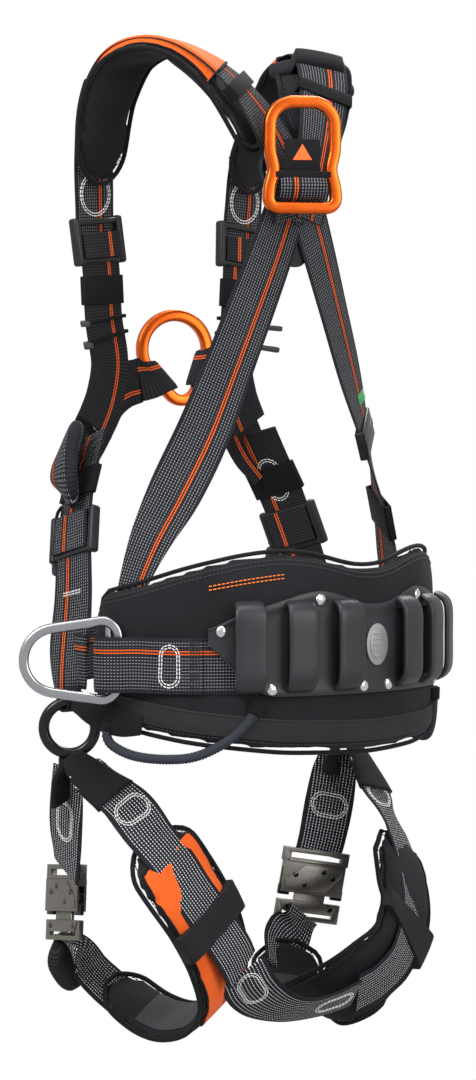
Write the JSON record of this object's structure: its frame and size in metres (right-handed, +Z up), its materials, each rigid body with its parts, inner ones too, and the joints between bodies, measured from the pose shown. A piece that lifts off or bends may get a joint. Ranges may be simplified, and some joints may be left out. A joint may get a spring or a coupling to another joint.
{
  "type": "tree climbing harness",
  "caption": "Full-body tree climbing harness with a padded waist belt, moulded tool plate, shoulder and leg pads, D-rings at back, chest and sides, and latch buckles.",
  "frame": {"origin": "middle of the wearer's waist, level with the side rings", "axes": "+Z up the wearer's back, +Y the way the wearer faces, -X the wearer's left"},
  "size_m": [0.4688, 0.2783, 0.8275],
  "materials": {
    "webbing": "charcoal polyester webbing with white and orange lines",
    "leg_webbing": "charcoal polyester webbing with white lines",
    "plain_webbing": "plain black ribbed webbing",
    "black_fabric": "black padded fabric with a fine weave",
    "orange_fabric": "orange fabric panel with black binding",
    "elastic": "black ribbed elastic",
    "plate_plastic": "moulded dark grey plastic",
    "black_plastic": "moulded black plastic",
    "rubber": "grey moulded rubber",
    "orange_aluminium": "orange anodised",
    "silver_aluminium": "polished",
    "black_aluminium": "gloss black anodised",
    "buckle_steel": "dark nickel",
    "rivet_steel": "polished",
    "gear_loop_fabric": "blue-grey ribbed tube",
    "cord": "black elastic cord"
  },
  "bodies": {
    "harness": {"belt_pad": "black_fabric", "back_belt_webbing": "webbing", "tool_plate": "plate_plastic", "tool_loops": "plate_plastic", "plate_rivets": "rivet_steel", "side_ring_sleeves": "black_fabric", "front_belt_webbing": "webbing", "dorsal_plate": "black_plastic", "dorsal_loop": "webbing", "back_strap_left": "webbing", "back_strap_right": "webbing", "shoulder_strap_left": "webbing", "shoulder_strap_right": "webbing", "shoulder_pad_left": "orange_fabric", "shoulder_pad_right": "black_fabric", "strap_adjusters": "black_plastic", "front_strap_left": "plain_webbing", "front_strap_right": "plain_webbing", "strap_keepers": "elastic", "parking_tabs": "rubber", "chest_strap_left": "plain_webbing", "chest_strap_right": "plain_webbing", "riser_straps": "webbing", "back_strap_slider": "black_plastic", "gear_loops": "gear_loop_fabric", "hip_bands": "black_fabric", "pull_cord_left": "cord", "pull_cord_right": "cord", "pull_tabs": "rubber", "belt_buckle_base": "buckle_steel", "belt_buckle_tongue": "buckle_steel"},
    "back_ring": {"dorsal_ring": "orange_aluminium"},
    "chest_ring": {"sternal_ring": "orange_aluminium", "sternal_ring_loops": "plain_webbing"},
    "left_side_ring": {"side_ring_left": "silver_aluminium"},
    "right_side_ring": {"side_ring_right": "silver_aluminium"},
    "leg_loops": {"hip_loops": "black_fabric", "hip_sleeves": "black_fabric", "hip_ring_left": "black_aluminium", "hip_ring_right": "black_aluminium", "leg_strap_left": "leg_webbing", "leg_strap_right": "leg_webbing", "seat_strap": "leg_webbing", "leg_pad_left": "orange_fabric", "leg_pad_right": "black_fabric", "leg_pad_bands": "elastic", "leg_front_strap_left": "leg_webbing", "leg_front_strap_right": "leg_webbing", "leg_lower_strap_left": "leg_webbing", "leg_lower_strap_right": "leg_webbing", "leg_buckle_left_base": "buckle_steel", "leg_buckle_left_tongue": "buckle_steel", "leg_buckle_right_base": "buckle_steel", "leg_buckle_right_tongue": "buckle_steel"},
    "left_leg_inner_latch": {"leg_buckle_left_latch_inner": "buckle_steel"},
    "left_leg_outer_latch": {"leg_buckle_left_latch_outer": "buckle_steel"},
    "right_leg_inner_latch": {"leg_buckle_right_latch_inner": "buckle_steel"},
    "right_leg_outer_latch": {"leg_buckle_right_latch_outer": "buckle_steel"},
    "belt_upper_latch": {"belt_buckle_latch_upper": "buckle_steel"},
    "belt_lower_latch": {"belt_buckle_latch_lower": "buckle_steel"}
  },
  "joints": [
    {"name": "dorsal_ring_tilt", "type": "hinge", "parent": "harness", "child": "back_ring", "pos_m": [-0.024, -0.094, 0.369], "axis": [0.809, -0.5878, 0], "range_deg": [0, 115]},
    {"name": "sternal_ring_swing", "type": "hinge", "parent": "harness", "child": "chest_ring", "pos_m": [0.00865, 0.07712, 0.2372], "axis": [0.8637, -0.4592, 0.2079], "range_deg": [-40, 40]},
    {"name": "side_ring_left_swing", "type": "hinge", "parent": "harness", "child": "left_side_ring", "pos_m": [-0.184, -0.03, 0.004], "axis": [0, 0, 1], "range_deg": [-25, 6]},
    {"name": "side_ring_right_swing", "type": "hinge", "parent": "harness", "child": "right_side_ring", "pos_m": [0.184, -0.03, 0.004], "axis": [0, 0, -1], "range_deg": [-25, 6]},
    {"name": "leg_loops_swing", "type": "hinge", "parent": "harness", "child": "leg_loops", "pos_m": [0, 0.036, -0.034], "axis": [1, 0, 0], "range_deg": [-10, 12]},
    {"name": "left_leg_inner_release", "type": "hinge", "parent": "leg_loops", "child": "left_leg_inner_latch", "pos_m": [-0.11843, 0.10115, -0.20236], "axis": [-0.9516, 0.2909, 0.0994], "range_deg": [0, 9], "stiffness_Nm_per_rad": 0.05},
    {"name": "left_leg_outer_release", "type": "hinge", "parent": "leg_loops", "child": "left_leg_outer_latch", "pos_m": [-0.13109, 0.0582, -0.19784], "axis": [0.9516, -0.2909, -0.0994], "range_deg": [0, 9], "stiffness_Nm_per_rad": 0.05},
    {"name": "right_leg_inner_release", "type": "hinge", "parent": "leg_loops", "child": "right_leg_inner_latch", "pos_m": [0.114, 0.0471, -0.20258], "axis": [-0.5162, -0.8551, -0.0487], "range_deg": [0, 9], "stiffness_Nm_per_rad": 0.05},
    {"name": "right_leg_outer_release", "type": "hinge", "parent": "leg_loops", "child": "right_leg_outer_latch", "pos_m": [0.15222, 0.02444, -0.20969], "axis": [0.5162, 0.8551, 0.0487], "range_deg": [0, 9], "stiffness_Nm_per_rad": 0.05},
    {"name": "belt_upper_release", "type": "hinge", "parent": "harness", "child": "belt_upper_latch", "pos_m": [-0.01, 0.11, 0.0225], "axis": [0, 1, 0], "range_deg": [0, 9], "stiffness_Nm_per_rad": 0.05},
    {"name": "belt_lower_release", "type": "hinge", "parent": "harness", "child": "belt_lower_latch", "pos_m": [-0.01, 0.11, -0.0225], "axis": [0, -1, 0], "range_deg": [0, 9], "stiffness_Nm_per_rad": 0.05}
  ]
}
